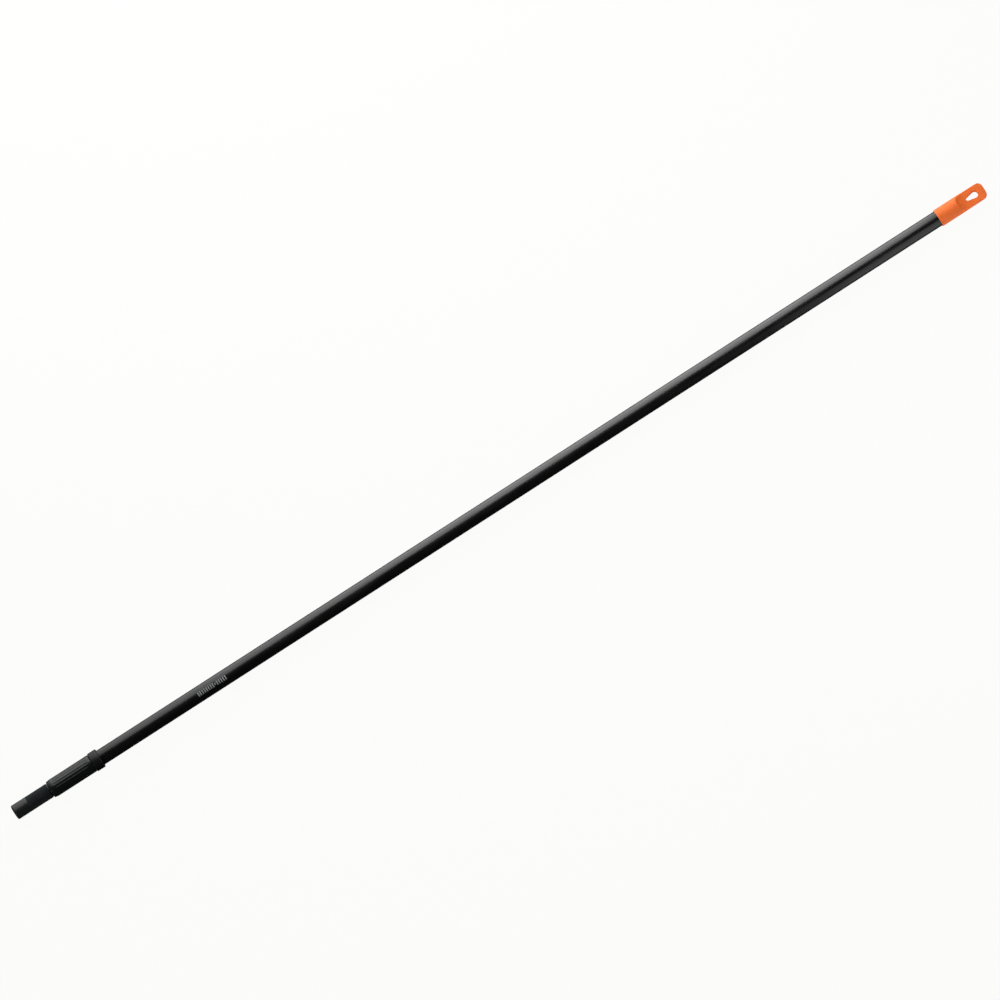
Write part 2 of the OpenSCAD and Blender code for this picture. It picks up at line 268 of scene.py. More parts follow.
def extruded_polypropylene(name, colour):
    """Polypropylene extruded over steel tube.

    A satin black with long faint die lines that streak the highlight, and dull hair scratches along the pole
    where it has been handled.
    """
    material, tree, shader = new_surface(name, IOR=1.49)
    lines = stretched_noise(tree, 220, 1.6, detail=1.0)
    patches = stretched_noise(tree, 60, 9, detail=3.0)
    ripple = stretched_noise(tree, 14, 5, detail=1.0)
    scratches = rubs(tree, 28, 0.7)
    base = mottle(tree, colour, spread(tree, lines, 0, 1), 1.5)
    tree.links.new(tint(tree, base, paler(colour, 5), scratches), shader.inputs["Base Color"])
    satin = spread(tree, patches, 0.3, 0.4)
    tree.links.new(rubbed(tree, satin, 0.5, scratches), shader.inputs["Roughness"])
    low = bump(tree, lines, 0.012)
    tree.links.new(bump(tree, ripple, 0.02, low), shader.inputs["Normal"])
    return material


def moulded_polypropylene(name, colour, roughness=0.4, grain_mm=0.9, relief_mm=0.02, lift=1.4,
                          gloss=0.5):
    """Polypropylene from a fine spark-eroded mould.

    Satin, with a leathery grain, soft flow marks and small places that handling has rubbed smoother. The real
    grain is about 0.1 mm, drawn coarser so that it shows.
    """
    material, tree, shader = new_surface(name, IOR=1.49, Specular_IOR_Level=gloss)
    grain = stretched_noise(tree, grain_mm, grain_mm, detail=4.0, roughness=0.6)
    flow = stretched_noise(tree, 18, 7, detail=2.0)
    worn = rubs(tree, 4, 1.2)
    base = mottle(tree, colour, spread(tree, flow, 0, 1), lift)
    tree.links.new(tint(tree, base, paler(colour, lift * lift), worn), shader.inputs["Base Color"])
    satin = spread(tree, grain, roughness - 0.05, roughness + 0.07)
    tree.links.new(rubbed(tree, satin, roughness - 0.06, worn), shader.inputs["Roughness"])
    tree.links.new(bump(tree, grain, relief_mm), shader.inputs["Normal"])
    return material


def textured_polypropylene(name, colour):
    """Polypropylene from a coarsely eroded mould: the same black as the tubes, but duller and pebbly."""
    return moulded_polypropylene(name, colour, roughness=0.48, grain_mm=1.1, relief_mm=0.03, gloss=0.33)


def glass_filled_nylon(name, colour):
    """Glass-filled nylon: near black, half matt, with a cool cast and a dry fibrous mottle."""
    return moulded_polypropylene(name, colour, roughness=0.36, grain_mm=0.7, relief_mm=0.03, lift=1.6)


def pigmented_polypropylene(name, colour):
    """Brightly pigmented polypropylene: a bold flat colour with a low, broad sheen and faint flow marks."""
    return moulded_polypropylene(name, colour, roughness=0.58, lift=1.1, gloss=0.25)


def soft_elastomer(name, colour):
    """Thermoplastic elastomer moulded on a textured core: matt, with a fine dusty bloom."""
    return moulded_polypropylene(name, colour, roughness=0.75, grain_mm=0.6, relief_mm=0.045, lift=1.6,
                                 gloss=0.12)


def natural_nylon(name, colour):
    """Unfilled nylon: milky and slightly waxy."""
    material, tree, shader = new_surface(name, IOR=1.53)
    cloud = stretched_noise(tree, 6, 6, detail=2.0)
    tree.links.new(mottle(tree, colour, spread(tree, cloud, 0, 1), 1.05), shader.inputs["Base Color"])
    tree.links.new(spread(tree, cloud, 0.36, 0.48), shader.inputs["Roughness"])
    tree.links.new(bump(tree, stretched_noise(tree, 0.8, 0.8, detail=3.0), 0.01), shader.inputs["Normal"])
    return material


def drawn_steel(name, colour):
    """Drawn and zinc-plated steel: a soft grey metal with fine lines along the way it was drawn."""
    material, tree, shader = new_surface(name, Metallic=1.0)
    lines = stretched_noise(tree, 40, 0.35, detail=2.0)
    bloom = stretched_noise(tree, 8, 5, detail=3.0)
    tree.links.new(mottle(tree, colour, spread(tree, bloom, 0, 1), 1.15), shader.inputs["Base Color"])
    tree.links.new(spread(tree, lines, 0.24, 0.42), shader.inputs["Roughness"])
    tree.links.new(bump(tree, lines, 0.006), shader.inputs["Normal"])
    return material


def pressed_felt(name, colour):
    """Pressed wool felt: no gloss, tangled fibres, a pale fuzz at grazing angles."""
    material, tree, shader = new_surface(name, Roughness=0.95, Sheen_Weight=0.4)
    fibre = stretched_noise(tree, 0.25, 0.7, detail=5.0, roughness=0.7)
    tree.links.new(mottle(tree, colour, spread(tree, fibre, 0, 1), 1.6), shader.inputs["Base Color"])
    tree.links.new(bump(tree, fibre, 0.15), shader.inputs["Normal"])
    return material


def pad_printed_ink(name, colour):
    """Pad-printed ink: a thin pale film, flatter than the skin, with small pinholes where it skipped."""
    material, tree, shader = new_surface(name, IOR=1.5)
    skips = stretched_noise(tree, 0.7, 0.5, detail=3.0)
    dull = tuple(c * 0.55 for c in colour)
    tree.links.new(mottle(tree, dull, spread(tree, skips, 0, 1, 0.25, 0.5), 1.8), shader.inputs["Base Color"])
    tree.links.new(spread(tree, skips, 0.6, 0.45), shader.inputs["Roughness"])
    return material


def material_for(key):
    """The pole's material of that name, made the first time it is asked for."""
    made = bpy.data.materials.get(key)
    if made:
        return made
    shade = colours()
    makers = {
        "tube_skin": (extruded_polypropylene, shade.skin),
        "cap_moulding": (pigmented_polypropylene, shade.cap),
        "nut_moulding": (glass_filled_nylon, shade.nut),
        "base_moulding": (textured_polypropylene, shade.base),
        "sleeve_elastomer": (soft_elastomer, shade.sleeve),
        "nose_polypropylene": (moulded_polypropylene, shade.nose),
        "printed_ink": (pad_printed_ink, shade.print),
        "inner_nylon": (natural_nylon, shade.nylon),
        "drawn_steel": (drawn_steel, shade.steel),
        "wiper_felt": (pressed_felt, shade.felt),
    }
    maker, colour = makers[key]
    return maker(key, tuple(colour))


# Shapes: every piece is turned round the pole's axis from an outline of (x, radius) points

def rounded(corners, steps=5):
    """A closed outline of (x, radius) points from (x, radius, rounding) corners."""
    points = []
    for i, (x, r, fillet) in enumerate(corners):
        if fillet <= 0:
            points.append((x, r))
            continue
        here = Vector((x, r))
        before = (Vector(corners[i - 1][:2]) - here).normalized()
        after = (Vector(corners[(i + 1) % len(corners)][:2]) - here).normalized()
        half = before.angle(after) / 2
        centre = here + (before + after).normalized() * (fillet / math.sin(half))
        first = here + before * (fillet / math.tan(half)) - centre
        last = here + after * (fillet / math.tan(half)) - centre
        turn = math.atan2(first.x * last.y - first.y * last.x, first.dot(last))
        for k in range(steps + 1):
            spot = Matrix.Rotation(turn * k / steps, 2) @ first
            points.append((centre.x + spot.x, centre.y + spot.y))
    return points


def closed_rows(rows, columns, loop):
    """Faces between closed rows of points. A loop joins the last row to the first."""
    faces = []
    for i in range(rows if loop else rows - 1):
        for k in range(columns):
            a, b = i * columns + k, i * columns + (k + 1) % columns
            c, d = (i + 1) % rows * columns + (k + 1) % columns, (i + 1) % rows * columns + k
            faces.append((a, b, c, d))
    return faces


def turned(outline, columns, shaped=None, solid=False):
    """Points and faces of an outline turned round the axis.

    shaped(x, r, angle) gives a point that differs from (x, r). A solid's outline is open, and its ends are
    closed on the axis.
    """
    points = []
    for x, r in outline:
        for k in range(columns):
            angle = 2 * math.pi * k / columns
            points.append(shaped(x, r, angle) if shaped else (x, r * math.cos(angle), r * math.sin(angle)))
    faces = closed_rows(len(outline), columns, not solid)
    if solid:
        last_row = (len(outline) - 1) * columns
        for row, x in ((0, outline[0][0]), (last_row, outline[-1][0])):
            centre = len(points)
            points.append((x, 0.0, 0.0))
            for k in range(columns):
                a, b = row + k, row + (k + 1) % columns
                faces.append((a, b, centre) if row else (b, a, centre))
    return points, faces


def stretch(start, end, radius, count):
    """Corners that divide a straight run into equal lengths."""
    return [(start + (end - start) * i / count, radius, 0) for i in range(1, count)]


# Points closer than this are one point
WELD = 0.001 * MM

# Edges that turn by more than this many degrees stay sharp
TUBE_SHARP, MOULDING_SHARP, CAP_SHARP = 35, 40, 50


def add_object(name, data):
    """An object in the scene for a mesh, a light or a camera."""
    made = bpy.data.objects.new(name, data)
    bpy.context.scene.collection.objects.link(made)
    return made


def face_outwards(editing):
    """Turns every face's front to the outside."""
    bmesh.ops.recalc_face_normals(editing, faces=editing.faces)


def split_many_sided(editing):
    """Divides the many-sided faces that a boolean leaves into triangles."""
    many_sided = [face for face in editing.faces if len(face.verts) > 4]
    bmesh.ops.triangulate(editing, faces=many_sided, ngon_method="BEAUTY")


def refine(mesh, sharp, work):
    """Welds a mesh, does some work on its faces, and smooths it but for its sharp edges."""
    editing = bmesh.new()
    editing.from_mesh(mesh)
    bmesh.ops.remove_doubles(editing, verts=editing.verts, dist=WELD)
    work(editing)
    editing.to_mesh(mesh)
    editing.free()
    mesh.shade_smooth()
    mesh.set_sharp_from_angle(angle=math.radians(sharp))


def new_piece(name, points, faces, material, sharp=TUBE_SHARP):
    """A smooth-shaded object, with a material unless it is a cutter."""
    mesh = bpy.data.meshes.new(name)
    mesh.from_pydata(points, [], faces)
    refine(mesh, sharp, face_outwards)
    piece = add_object(name, mesh)
    if material:
        mesh.materials.append(material_for(material))
    return piece


def cut(piece, points, faces, sharp=TUBE_SHARP):
    """Takes a cutter's shape out of a piece."""
    cutter = new_piece("cutter", points, faces, None)
    modifier = piece.modifiers.new("cut", "BOOLEAN")
    modifier.object = cutter
    modifier.operation = "DIFFERENCE"
    modifier.solver = "EXACT"
    bpy.context.view_layer.update()
    result = bpy.data.meshes.new_from_object(piece.evaluated_get(bpy.context.evaluated_depsgraph_get()))
    piece.modifiers.clear()
    result.name = piece.name
    refine(result, sharp, split_many_sided)
    piece.data = result
    bpy.data.objects.remove(cutter)


def end_faces(count, columns):
    """The two many-sided faces that close the first and the last row of count points."""
    return [tuple(range(columns)), tuple(range(count - 1, count - columns - 1, -1))]


HOLE_STEPS = 32


def drill(piece, x, radius):
    """Cuts a round hole straight across the pole along Y.

    The cutter is turned by half a step, so that none of its edges meets an edge of the piece.
    """
    points = []
    for y in (-PIN_REACH, PIN_REACH):
        for k in range(HOLE_STEPS):
            angle = 2 * math.pi * (k + 0.5) / HOLE_STEPS
            points.append((x + radius * math.cos(angle), y, radius * math.sin(angle)))
    cut(piece, points, closed_rows(2, HOLE_STEPS, False) + end_faces(len(points), HOLE_STEPS))


def stand_in(piece, node, slot):
    """Puts a piece on its node's body, in the node's place."""
    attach(piece, frame["nodes"][node]["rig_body"])
    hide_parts(node)


def paint_node(node, material):
    """Gives a CAD node that stays in view its material."""
    piece = frame["nodes"][node]
    for place in piece.material_slots:
        place.material = material_for(material)


# Fits that the frame doesn't say, as they are inside the pole
SEAT_GAP = 0.02 * MM
RUN_GAP = 0.05 * MM
TUBE_WALL = 0.5 * MM
PIN_REACH = 20 * MM


def hand_bore():
    """The hand tube's inside radius."""
    return radius_of("guide_ring") + RUN_GAP


def across_hole(node):
    """Middle and radius of the hole that a cross pin needs."""
    low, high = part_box(node)
    return (low.x + high.x) / 2, (high.x - low.x) / 2 + SEAT_GAP


# Operators, one for each piece or group of like pieces

class PoleOperator:
    bl_options = {"REGISTER", "UNDO"}


TUBE_ROWS = 24
TUBE_EDGE_STEPS = 3


class POLE_OT_tubes(PoleOperator, bpy.types.Operator):
    """Makes both sections' steel tubes and their black skins"""

    bl_idname = "pole.tubes"
    bl_label = "Tubes and skins"

    def execute(self, context):
        s = sizes()
        core, slide_core = radius_of("outer_tube"), radius_of("inner_tube")
        hand_pins, slide_pins = ("base_pins",), ("nose_pin", "plug_pin")
        for name, node, inner, material, slot, pins in (
            ("hand_tube_skin", "outer_coating", core, "tube_skin", "black_skin", hand_pins),
            ("hand_tube_steel", "outer_tube", hand_bore(), "drawn_steel", "tube_steel", hand_pins),
            ("sliding_tube_skin", "inner_coating", slide_core, "tube_skin", "black_skin", slide_pins),
            ("sliding_tube_steel", "inner_tube", slide_core - TUBE_WALL, "drawn_steel", "tube_steel",
             slide_pins),
        ):
            start, end, outer = start_of(node), end_of(node), radius_of(node)
            outline = rounded([(start, inner, s.tube_edge), (start, outer, s.tube_edge)]
                              + stretch(start, end, outer, TUBE_ROWS)
                              + [(end, outer, s.tube_edge), (end, inner, s.tube_edge)]
                              + stretch(end, start, inner, TUBE_ROWS), TUBE_EDGE_STEPS)
            piece = new_piece(name, *turned(outline, s.columns), material)
            for pin in pins:
                drill(piece, *across_hole(pin))
            stand_in(piece, node, slot)
        return {"FINISHED"}


class POLE_OT_print(PoleOperator, bpy.types.Operator):
    """Finishes the printed bars on the hand tube"""

    bl_idname = "pole.print"
    bl_label = "Printed bars"

    def execute(self, context):
        paint_node("printed_mark", "printed_ink")
        return {"FINISHED"}


CAP_WALL = 1.5 * MM
CAP_NECK_DROP = 0.4 * MM
CAP_END_ROUND = 7 * MM
CAP_MOUTH_EDGE = 0.6 * MM
CAP_BORE_EDGE = 0.2 * MM
CAP_PAST_TUBE = 2 * MM
CAP_PLUG_WALL = 1.8 * MM
CAP_PLUG_START = 8 * MM
CAP_BODY_ROWS = 16
CAP_NECK_ROWS = 36
CAP_END_ROWS = 12
CAP_EDGE_STEPS = 4
TAB_RUN_OUT = 12 * MM
SLOT_WEB = 10.5 * MM
SLOT_LENGTH = 18 * MM
SLOT_WIDE = 4.75 * MM
SLOT_TIP = 2.6 * MM
TAB_BEFORE_SLOT = 2.5 * MM

# How far the slot's cutter stands out of the tab, and its steps round an end and down a rim
SLOT_OVERRUN = 5 * MM
SLOT_STEPS = 21
RIM_STEPS = 6


def soft_limit(value, limit, edge):
    """The value held below the limit, turning over the given edge."""
    over = value - limit
    if over <= -edge:
        return value
    if over >= edge:
        return limit
    return value - (over + edge) ** 2 / (4 * edge)


class POLE_OT_hang_cap(PoleOperator, bpy.types.Operator):
    """Makes the hang cap with its flat tab and its slot"""

    bl_idname = "pole.hang_cap"
    bl_label = "Hang cap"

    def execute(self, context):
        s = sizes()
        front, back = start_of("hang_cap"), end_of("hang_cap")
        tube_r, tube_end = radius_of("outer_coating"), end_of("outer_coating")
        cap_r = tube_r + CAP_WALL
        neck_r = cap_r - CAP_NECK_DROP
        bore_r, plug_r = tube_r + SEAT_GAP, hand_bore() - SEAT_GAP
        plug_bore_r = plug_r - CAP_PLUG_WALL
        slot_back = back - SLOT_WEB
        slot_front = slot_back - SLOT_LENGTH
        tab_start = slot_front - TAB_BEFORE_SLOT
        round_start = back - CAP_END_ROUND

        neck_start = tube_end + CAP_PAST_TUBE
        plug_start = front + CAP_PLUG_START
        outline = rounded([(front, bore_r, CAP_BORE_EDGE), (front, cap_r, CAP_MOUTH_EDGE)]
                          + stretch(front, neck_start, cap_r, CAP_BODY_ROWS)
                          + [(neck_start, cap_r, 0)], CAP_EDGE_STEPS)
        for i in range(1, CAP_NECK_ROWS + 1):
            share = i / CAP_NECK_ROWS
            outline.append((neck_start + (round_start - neck_start) * share,
                            cap_r + (neck_r - cap_r) * share))
        for k in range(1, CAP_END_ROWS + 1):
            turn = math.pi / 2 * k / CAP_END_ROWS
            outline.append((round_start + CAP_END_ROUND * math.sin(turn),
                            neck_r - CAP_END_ROUND + CAP_END_ROUND * math.cos(turn)))
        inside = [(tube_end, plug_bore_r), (plug_start, plug_bore_r), (plug_start, plug_r),
                  (tube_end, plug_r), (tube_end, bore_r)]

        def tab_half_at(x):
            """How far the tab reaches above and below the axis."""
            half = s.tab_half
            if x < tab_start:
                ahead = min(tab_start - x, TAB_RUN_OUT)
                half += TAB_RUN_OUT - math.sqrt(TAB_RUN_OUT ** 2 - ahead ** 2)
            if x > back - s.tab_edge:
                past = x - (back - s.tab_edge)
                half -= s.tab_edge - math.sqrt(max(0.0, s.tab_edge ** 2 - past ** 2))
            return half

        def shaped(x, r, angle):
            """A point of the cap, held to the tab's thickness past the tube."""
            y, z = r * math.cos(angle), r * math.sin(angle)
            if x > tube_end:
                z = math.copysign(soft_limit(abs(z), tab_half_at(x), s.tab_edge), z)
            return x, y, z

        points, faces = turned(inside + outline, s.columns * 2, shaped, solid=True)
        cap = new_piece("hang_cap_moulding", points, faces, "cap_moulding", CAP_SHARP)
        cut(cap, *slot_cutter(slot_front, slot_back, s.tab_half, s.slot_rim), CAP_SHARP)
        stand_in(cap, "hang_cap", "orange_moulding")
        return {"FINISHED"}


def slot_cutter(front, back, half_depth, rim):
    """A tapered slot's cutter, whose mouths flare in a quarter round."""
    tilt = math.asin((SLOT_WIDE - SLOT_TIP) / (back - front - SLOT_WIDE - SLOT_TIP))
    ends = ((back - SLOT_WIDE, SLOT_WIDE, -math.pi / 2 - tilt, math.pi / 2 + tilt),
            (front + SLOT_TIP, SLOT_TIP, math.pi / 2 + tilt, 3 * math.pi / 2 - tilt))
    levels = [(half_depth + SLOT_OVERRUN, rim)]
    for k in range(RIM_STEPS + 1):
        turn = math.pi / 2 * k / RIM_STEPS
        levels.append((half_depth - rim * (1 - math.cos(turn)), rim * (1 - math.sin(turn))))
    levels += [(-z, grow) for z, grow in reversed(levels)]
    points = []
    for z, grow in levels:
        for x, r, start, end in ends:
            for k in range(SLOT_STEPS + 1):
                angle = start + (end - start) * k / SLOT_STEPS
                points.append((x + (r + grow) * math.cos(angle), (r + grow) * math.sin(angle), z))
    columns = 2 * (SLOT_STEPS + 1)
    return points, closed_rows(len(levels), columns, False) + end_faces(len(points), columns)


# Widths of a thread's ridge at its foot and at its top, as shares of the lead
RIDGE_ROOT = 0.45
RIDGE_CREST = 0.33

# Where round the pole both threads start, as a share of a turn
THREAD_PHASE = 0.25


def ridge_height(x, angle, front, turns):
    """Height of a right-handed helical ridge at a point, as a share of the full height."""
    along = (x - front) / sizes().thread_lead
    turn = (angle / (2 * math.pi) + THREAD_PHASE) % 1
    passed = round(along - turn) + turn
    if not 0 <= passed <= turns:
        return 0.0
    off = abs(along - passed)
    return min(1.0, max(0.0, (RIDGE_ROOT / 2 - off) / ((RIDGE_ROOT - RIDGE_CREST) / 2)))


# The nut's wall, its bore with the wiper's pocket and the clip's groove, its thread, and its flutes
NUT_CREST = 1.5 * MM
NUT_TAPER = 5.5 * MM
NUT_TAPER_DROP = 0.9 * MM
NUT_TAPER_ROUND = 18 * MM
NUT_FRONT_ROUND = 0.5 * MM
NUT_BACK_ROUND = 1.2 * MM
NUT_BORE_ROUND = 0.3 * MM
NUT_BORE_FLAT = 0.4 * MM
NUT_LIP_ROUND = 0.15 * MM
NUT_INNER_LIP = 2 * MM
NUT_OUTER_LIP = 1 * MM
NUT_THROAT_GAP = 0.5 * MM
NUT_POCKET_STEP = 0.1 * MM
CLIP_GROOVE = 0.4 * MM
NUT_THREAD_START = 40.5 * MM
NUT_THREAD_TURNS = 2.5
NUT_THREAD_END = 1 * MM
THREAD_CLEARANCE = 0.1 * MM
THREAD_STEP = 0.5 * MM
FLUTE_FADE = 1.5 * MM
FLUTE_FADE_STEP = 0.5 * MM
FLUTE_FADE_ROWS = 8
FLUTE_BODY_INSET = 2.5 * MM
FLUTE_BODY_ROWS = 10
FLUTE_COLUMNS = 20
HALF_FLUTE = math.radians(6.4)

# Points this close to the nut's outside take the flutes
SKIN_DEPTH = 0.01 * MM


class POLE_OT_grip_nut(PoleOperator, bpy.types.Operator):
    """Makes the fluted grip nut with its inside thread"""

    bl_idname = "pole.grip_nut"
    bl_label = "Grip nut"

    def execute(self, context):
        s = sizes()
        front, back, outer = start_of("lock_nut"), end_of("lock_nut"), radius_of("lock_nut")
        root = outer - NUT_CREST
        pocket = root - NUT_POCKET_STEP
        throat = radius_of("inner_coating") + NUT_THROAT_GAP
        clip_front, clip_back = start_of("nut_clip") - SEAT_GAP, end_of("nut_clip") + SEAT_GAP
        clip_r = root + CLIP_GROOVE
        wiper_front, wiper_back = start_of("wiper_ring") - SEAT_GAP, end_of("wiper_ring") + SEAT_GAP
        flute_front, flute_back = front + s.flute_front, back - s.flute_back
        thread_rows = int((back - clip_back) / THREAD_STEP)
        inner_lip, outer_lip = wiper_back + NUT_INNER_LIP, wiper_front - NUT_OUTER_LIP
        fade_end = FLUTE_FADE_STEP * (FLUTE_FADE_ROWS - 1) - FLUTE_FADE
        corners = [(front, pocket, NUT_LIP_ROUND), (front, outer - NUT_TAPER_DROP, NUT_FRONT_ROUND),
                   (front + NUT_TAPER, outer, NUT_TAPER_ROUND)]
        corners += [(flute_front - FLUTE_FADE + FLUTE_FADE_STEP * i, outer, 0)
                    for i in range(FLUTE_FADE_ROWS)]
        corners += stretch(flute_front + FLUTE_BODY_INSET, flute_back - FLUTE_BODY_INSET, outer,
                           FLUTE_BODY_ROWS)
        corners += [(flute_back - fade_end + FLUTE_FADE_STEP * i, outer, 0)
                    for i in range(FLUTE_FADE_ROWS)]
        corners += [(back, outer, NUT_BACK_ROUND), (back, root, NUT_BORE_ROUND)]
        corners += stretch(back - NUT_BORE_FLAT, clip_back, root, thread_rows)
        corners += [(clip_back, root, 0), (clip_back, clip_r, 0), (clip_front, clip_r, 0),
                    (clip_front, root, 0), (inner_lip, root, 0), (inner_lip, throat, NUT_LIP_ROUND),
                    (wiper_back, throat, NUT_LIP_ROUND), (wiper_back, pocket, 0),
                    (wiper_front, pocket, 0), (wiper_front, throat, NUT_LIP_ROUND),
                    (outer_lip, throat, NUT_LIP_ROUND), (outer_lip, pocket, 0)]

        def shaped(x, r, angle):
            """A point of the nut, with the flutes outside and the thread inside."""
            if r > outer - SKIN_DEPTH:
                inside = min(x - flute_front, flute_back - x) / FLUTE_FADE
                depth = s.flute_depth * min(1.0, max(0.0, 0.5 + inside / 2))
                off = (angle * s.flutes / (2 * math.pi) + 0.5) % 1 - 0.5
                off *= 2 * math.pi / s.flutes
                if abs(off) < HALF_FLUTE:
                    r -= depth * (0.5 + 0.5 * math.cos(math.pi * off / HALF_FLUTE))
            elif abs(r - root) < WELD and clip_back < x < back - NUT_THREAD_END:
                height = s.thread_height - THREAD_CLEARANCE
                r -= height * ridge_height(x, angle, NUT_THREAD_START, NUT_THREAD_TURNS)
            return x, r * math.cos(angle), r * math.sin(angle)

        points, faces = turned(rounded(corners), s.flutes * FLUTE_COLUMNS, shaped)
        nut = new_piece("grip_nut_moulding", points, faces, "nut_moulding", MOULDING_SHARP)
        stand_in(nut, "lock_nut", "grip_moulding")
        return {"FINISHED"}


SLIT_HALF = 0.9 * MM
SLIT_END = 27.5 * MM
SLIT_END_R = 1.2 * MM
FINGER_TAPER = 7 * MM
FINGER_TIP = 0.35 * MM
BASE_WALL = 1.05 * MM
BASE_THREAD_START = 31.5 * MM
BASE_THREAD_TURNS = 4
BASE_BORE_ROWS = 12
FLANGE_LENGTH = 12.5 * MM
FLANGE_ROUND = 0.8 * MM
SOCKET_FLOOR = 1.8 * MM
SOCKET_ROUND = 0.3 * MM
SLIT_OVERRUN = 1 * MM
SLIT_STEPS = 25


class POLE_OT_lock_base(PoleOperator, bpy.types.Operator):
    """Makes the lock base with its collet fingers, its thread and the flange behind the nut"""

    bl_idname = "pole.lock_base"
    bl_label = "Lock base"

    def execute(self, context):
        s = sizes()
        front, back, flange_r = start_of("lock_base"), end_of("lock_base"), radius_of("lock_base")
        flange_front = back - FLANGE_LENGTH
        bore = radius_of("inner_coating") + RUN_GAP
        root = bore + BASE_WALL
        socket = radius_of("outer_coating") + SEAT_GAP
        floor = flange_front + SOCKET_FLOOR
        thread_rows = int((flange_front - front - FINGER_TAPER) / THREAD_STEP)
        corners = [(front, bore, 0), (front, bore + FINGER_TIP, 0), (front + FINGER_TAPER, root, 0)]
        corners += stretch(front + FINGER_TAPER, flange_front, root, thread_rows)
        corners += [(flange_front, root, 0), (flange_front, flange_r, FLANGE_ROUND),
                    (back, flange_r, FLANGE_ROUND), (back, socket, SOCKET_ROUND), (floor, socket, 0),
                    (floor, bore, 0)]
        corners += stretch(floor, front, bore, BASE_BORE_ROWS)

        def shaped(x, r, angle):
            """A point of the lock base, with its outside thread."""
            if abs(r - root) < WELD:
                r += s.thread_height * ridge_height(x, angle, BASE_THREAD_START, BASE_THREAD_TURNS)
            return x, r * math.cos(angle), r * math.sin(angle)

        points, faces = turned(rounded(corners), s.columns * 2, shaped)
        base = new_piece("lock_base_moulding", points, faces, "base_moulding", MOULDING_SHARP)
        for along_y in (False, True):
            cut(base, *slit_cutter(front, along_y), MOULDING_SHARP)
        drill(base, *across_hole("base_pins"))
        stand_in(base, "lock_base", "black_moulding")
        return {"FINISHED"}


def slit_cutter(front, along_y):
    """A slit through both sides of the collet, with a round end."""
    outline = [(front - SLIT_OVERRUN, -SLIT_HALF), (front - SLIT_OVERRUN, SLIT_HALF)]
    first = math.pi - math.asin(SLIT_HALF / SLIT_END_R)
    for k in range(SLIT_STEPS + 1):
        angle = first - 2 * first * k / SLIT_STEPS
        outline.append((SLIT_END + SLIT_END_R * math.cos(angle), SLIT_END_R * math.sin(angle)))
    points = []
    for reach in (-PIN_REACH, PIN_REACH):
        points += [(x, reach, w) if along_y else (x, w, reach) for x, w in outline]
    return points, closed_rows(2, len(outline), False) + end_faces(len(points), len(outline))


NOSE_ROUND = 1.6 * MM
NOSE_GATE_R = 2.5 * MM
NOSE_GATE_DEPTH = 0.3 * MM
NOSE_GATE_ROUND = 0.1 * MM
NOSE_HUB = 0.3 * MM
NOSE_BACK_ROUND = 0.15 * MM
NOSE_ROWS = 8
SHANK_ROWS = 6
SLEEVE_FRONT_ROUND = 0.15 * MM
SLEEVE_BACK_ROUND = 0.4 * MM
GROOVE_ROUND = 0.07 * MM
GROOVE_STEPS = 3


class POLE_OT_spigot(PoleOperator, bpy.types.Operator):
    """Makes the roller spigot: the moulded nose and the ribbed sleeve"""

    bl_idname = "pole.spigot"
    bl_label = "Spigot"

    def execute(self, context):
        s = sizes()
        tip, shoulder, outer = start_of("nose_plug"), start_of("spigot_sleeve"), radius_of("nose_plug")
        shank = radius_of("inner_tube") - TUBE_WALL - SEAT_GAP
        shank_end = end_of("nose_plug")
        gate_floor = tip + NOSE_GATE_DEPTH
        corners = [(gate_floor, NOSE_HUB, 0), (gate_floor, NOSE_GATE_R, NOSE_GATE_ROUND),
                   (tip, NOSE_GATE_R, NOSE_GATE_ROUND), (tip, outer, NOSE_ROUND)]
        corners += stretch(tip + NOSE_ROUND, shoulder, outer, NOSE_ROWS)
        corners += [(shoulder - SEAT_GAP, outer, NOSE_BACK_ROUND), (shoulder - SEAT_GAP, shank, 0)]
        corners += stretch(shoulder, shank_end, shank, SHANK_ROWS)
        corners += [(shank_end, shank, NOSE_ROUND), (shank_end, NOSE_HUB, 0)]
        points, faces = turned(rounded(corners), s.columns, solid=True)
        nose = new_piece("spigot_nose", points, faces, "nose_polypropylene")
        drill(nose, *across_hole("nose_pin"))
        stand_in(nose, "nose_plug", "nose_moulding")

        start, end = start_of("spigot_sleeve"), end_of("spigot_sleeve")
        outer = radius_of("spigot_sleeve")
        inner = radius_of("inner_coating") + SEAT_GAP
        grooves = int((end - start - s.rib_pitch) / s.rib_pitch)
        first = start + (end - start - (grooves - 1) * s.rib_pitch) / 2
        corners = [(start, inner, 0), (start, outer, SLEEVE_FRONT_ROUND)]
        for i in range(grooves):
            middle = first + i * s.rib_pitch
            front, back = middle - s.rib_groove / 2, middle + s.rib_groove / 2
            bottom = outer - s.rib_depth
            corners += [(x, r, GROOVE_ROUND) for x, r in ((front, outer), (front, bottom), (back, bottom),
                                                          (back, outer))]
        corners += [(end, outer, SLEEVE_BACK_ROUND), (end, inner, 0)]
        points, faces = turned(rounded(corners, GROOVE_STEPS), s.columns)
        sleeve = new_piece("spigot_sleeve_ribbed", points, faces, "sleeve_elastomer")
        stand_in(sleeve, "spigot_sleeve", "spigot_sleeve")
        return {"FINISHED"}


class POLE_OT_inner_pieces(PoleOperator, bpy.types.Operator):
    """Finishes the small pieces inside the pole, which keep their frame shapes"""

    bl_idname = "pole.inner_pieces"
    bl_label = "Inner pieces"

    def execute(self, context):
        for node in ("mouth_bush", "wedge_ring", "guide_ring", "end_plug"):
            paint_node(node, "inner_nylon")
        for node in ("base_pins", "nut_clip", "nose_pin", "plug_pin"):
            paint_node(node, "drawn_steel")
        paint_node("wiper_ring", "wiper_felt")
        return {"FINISHED"}


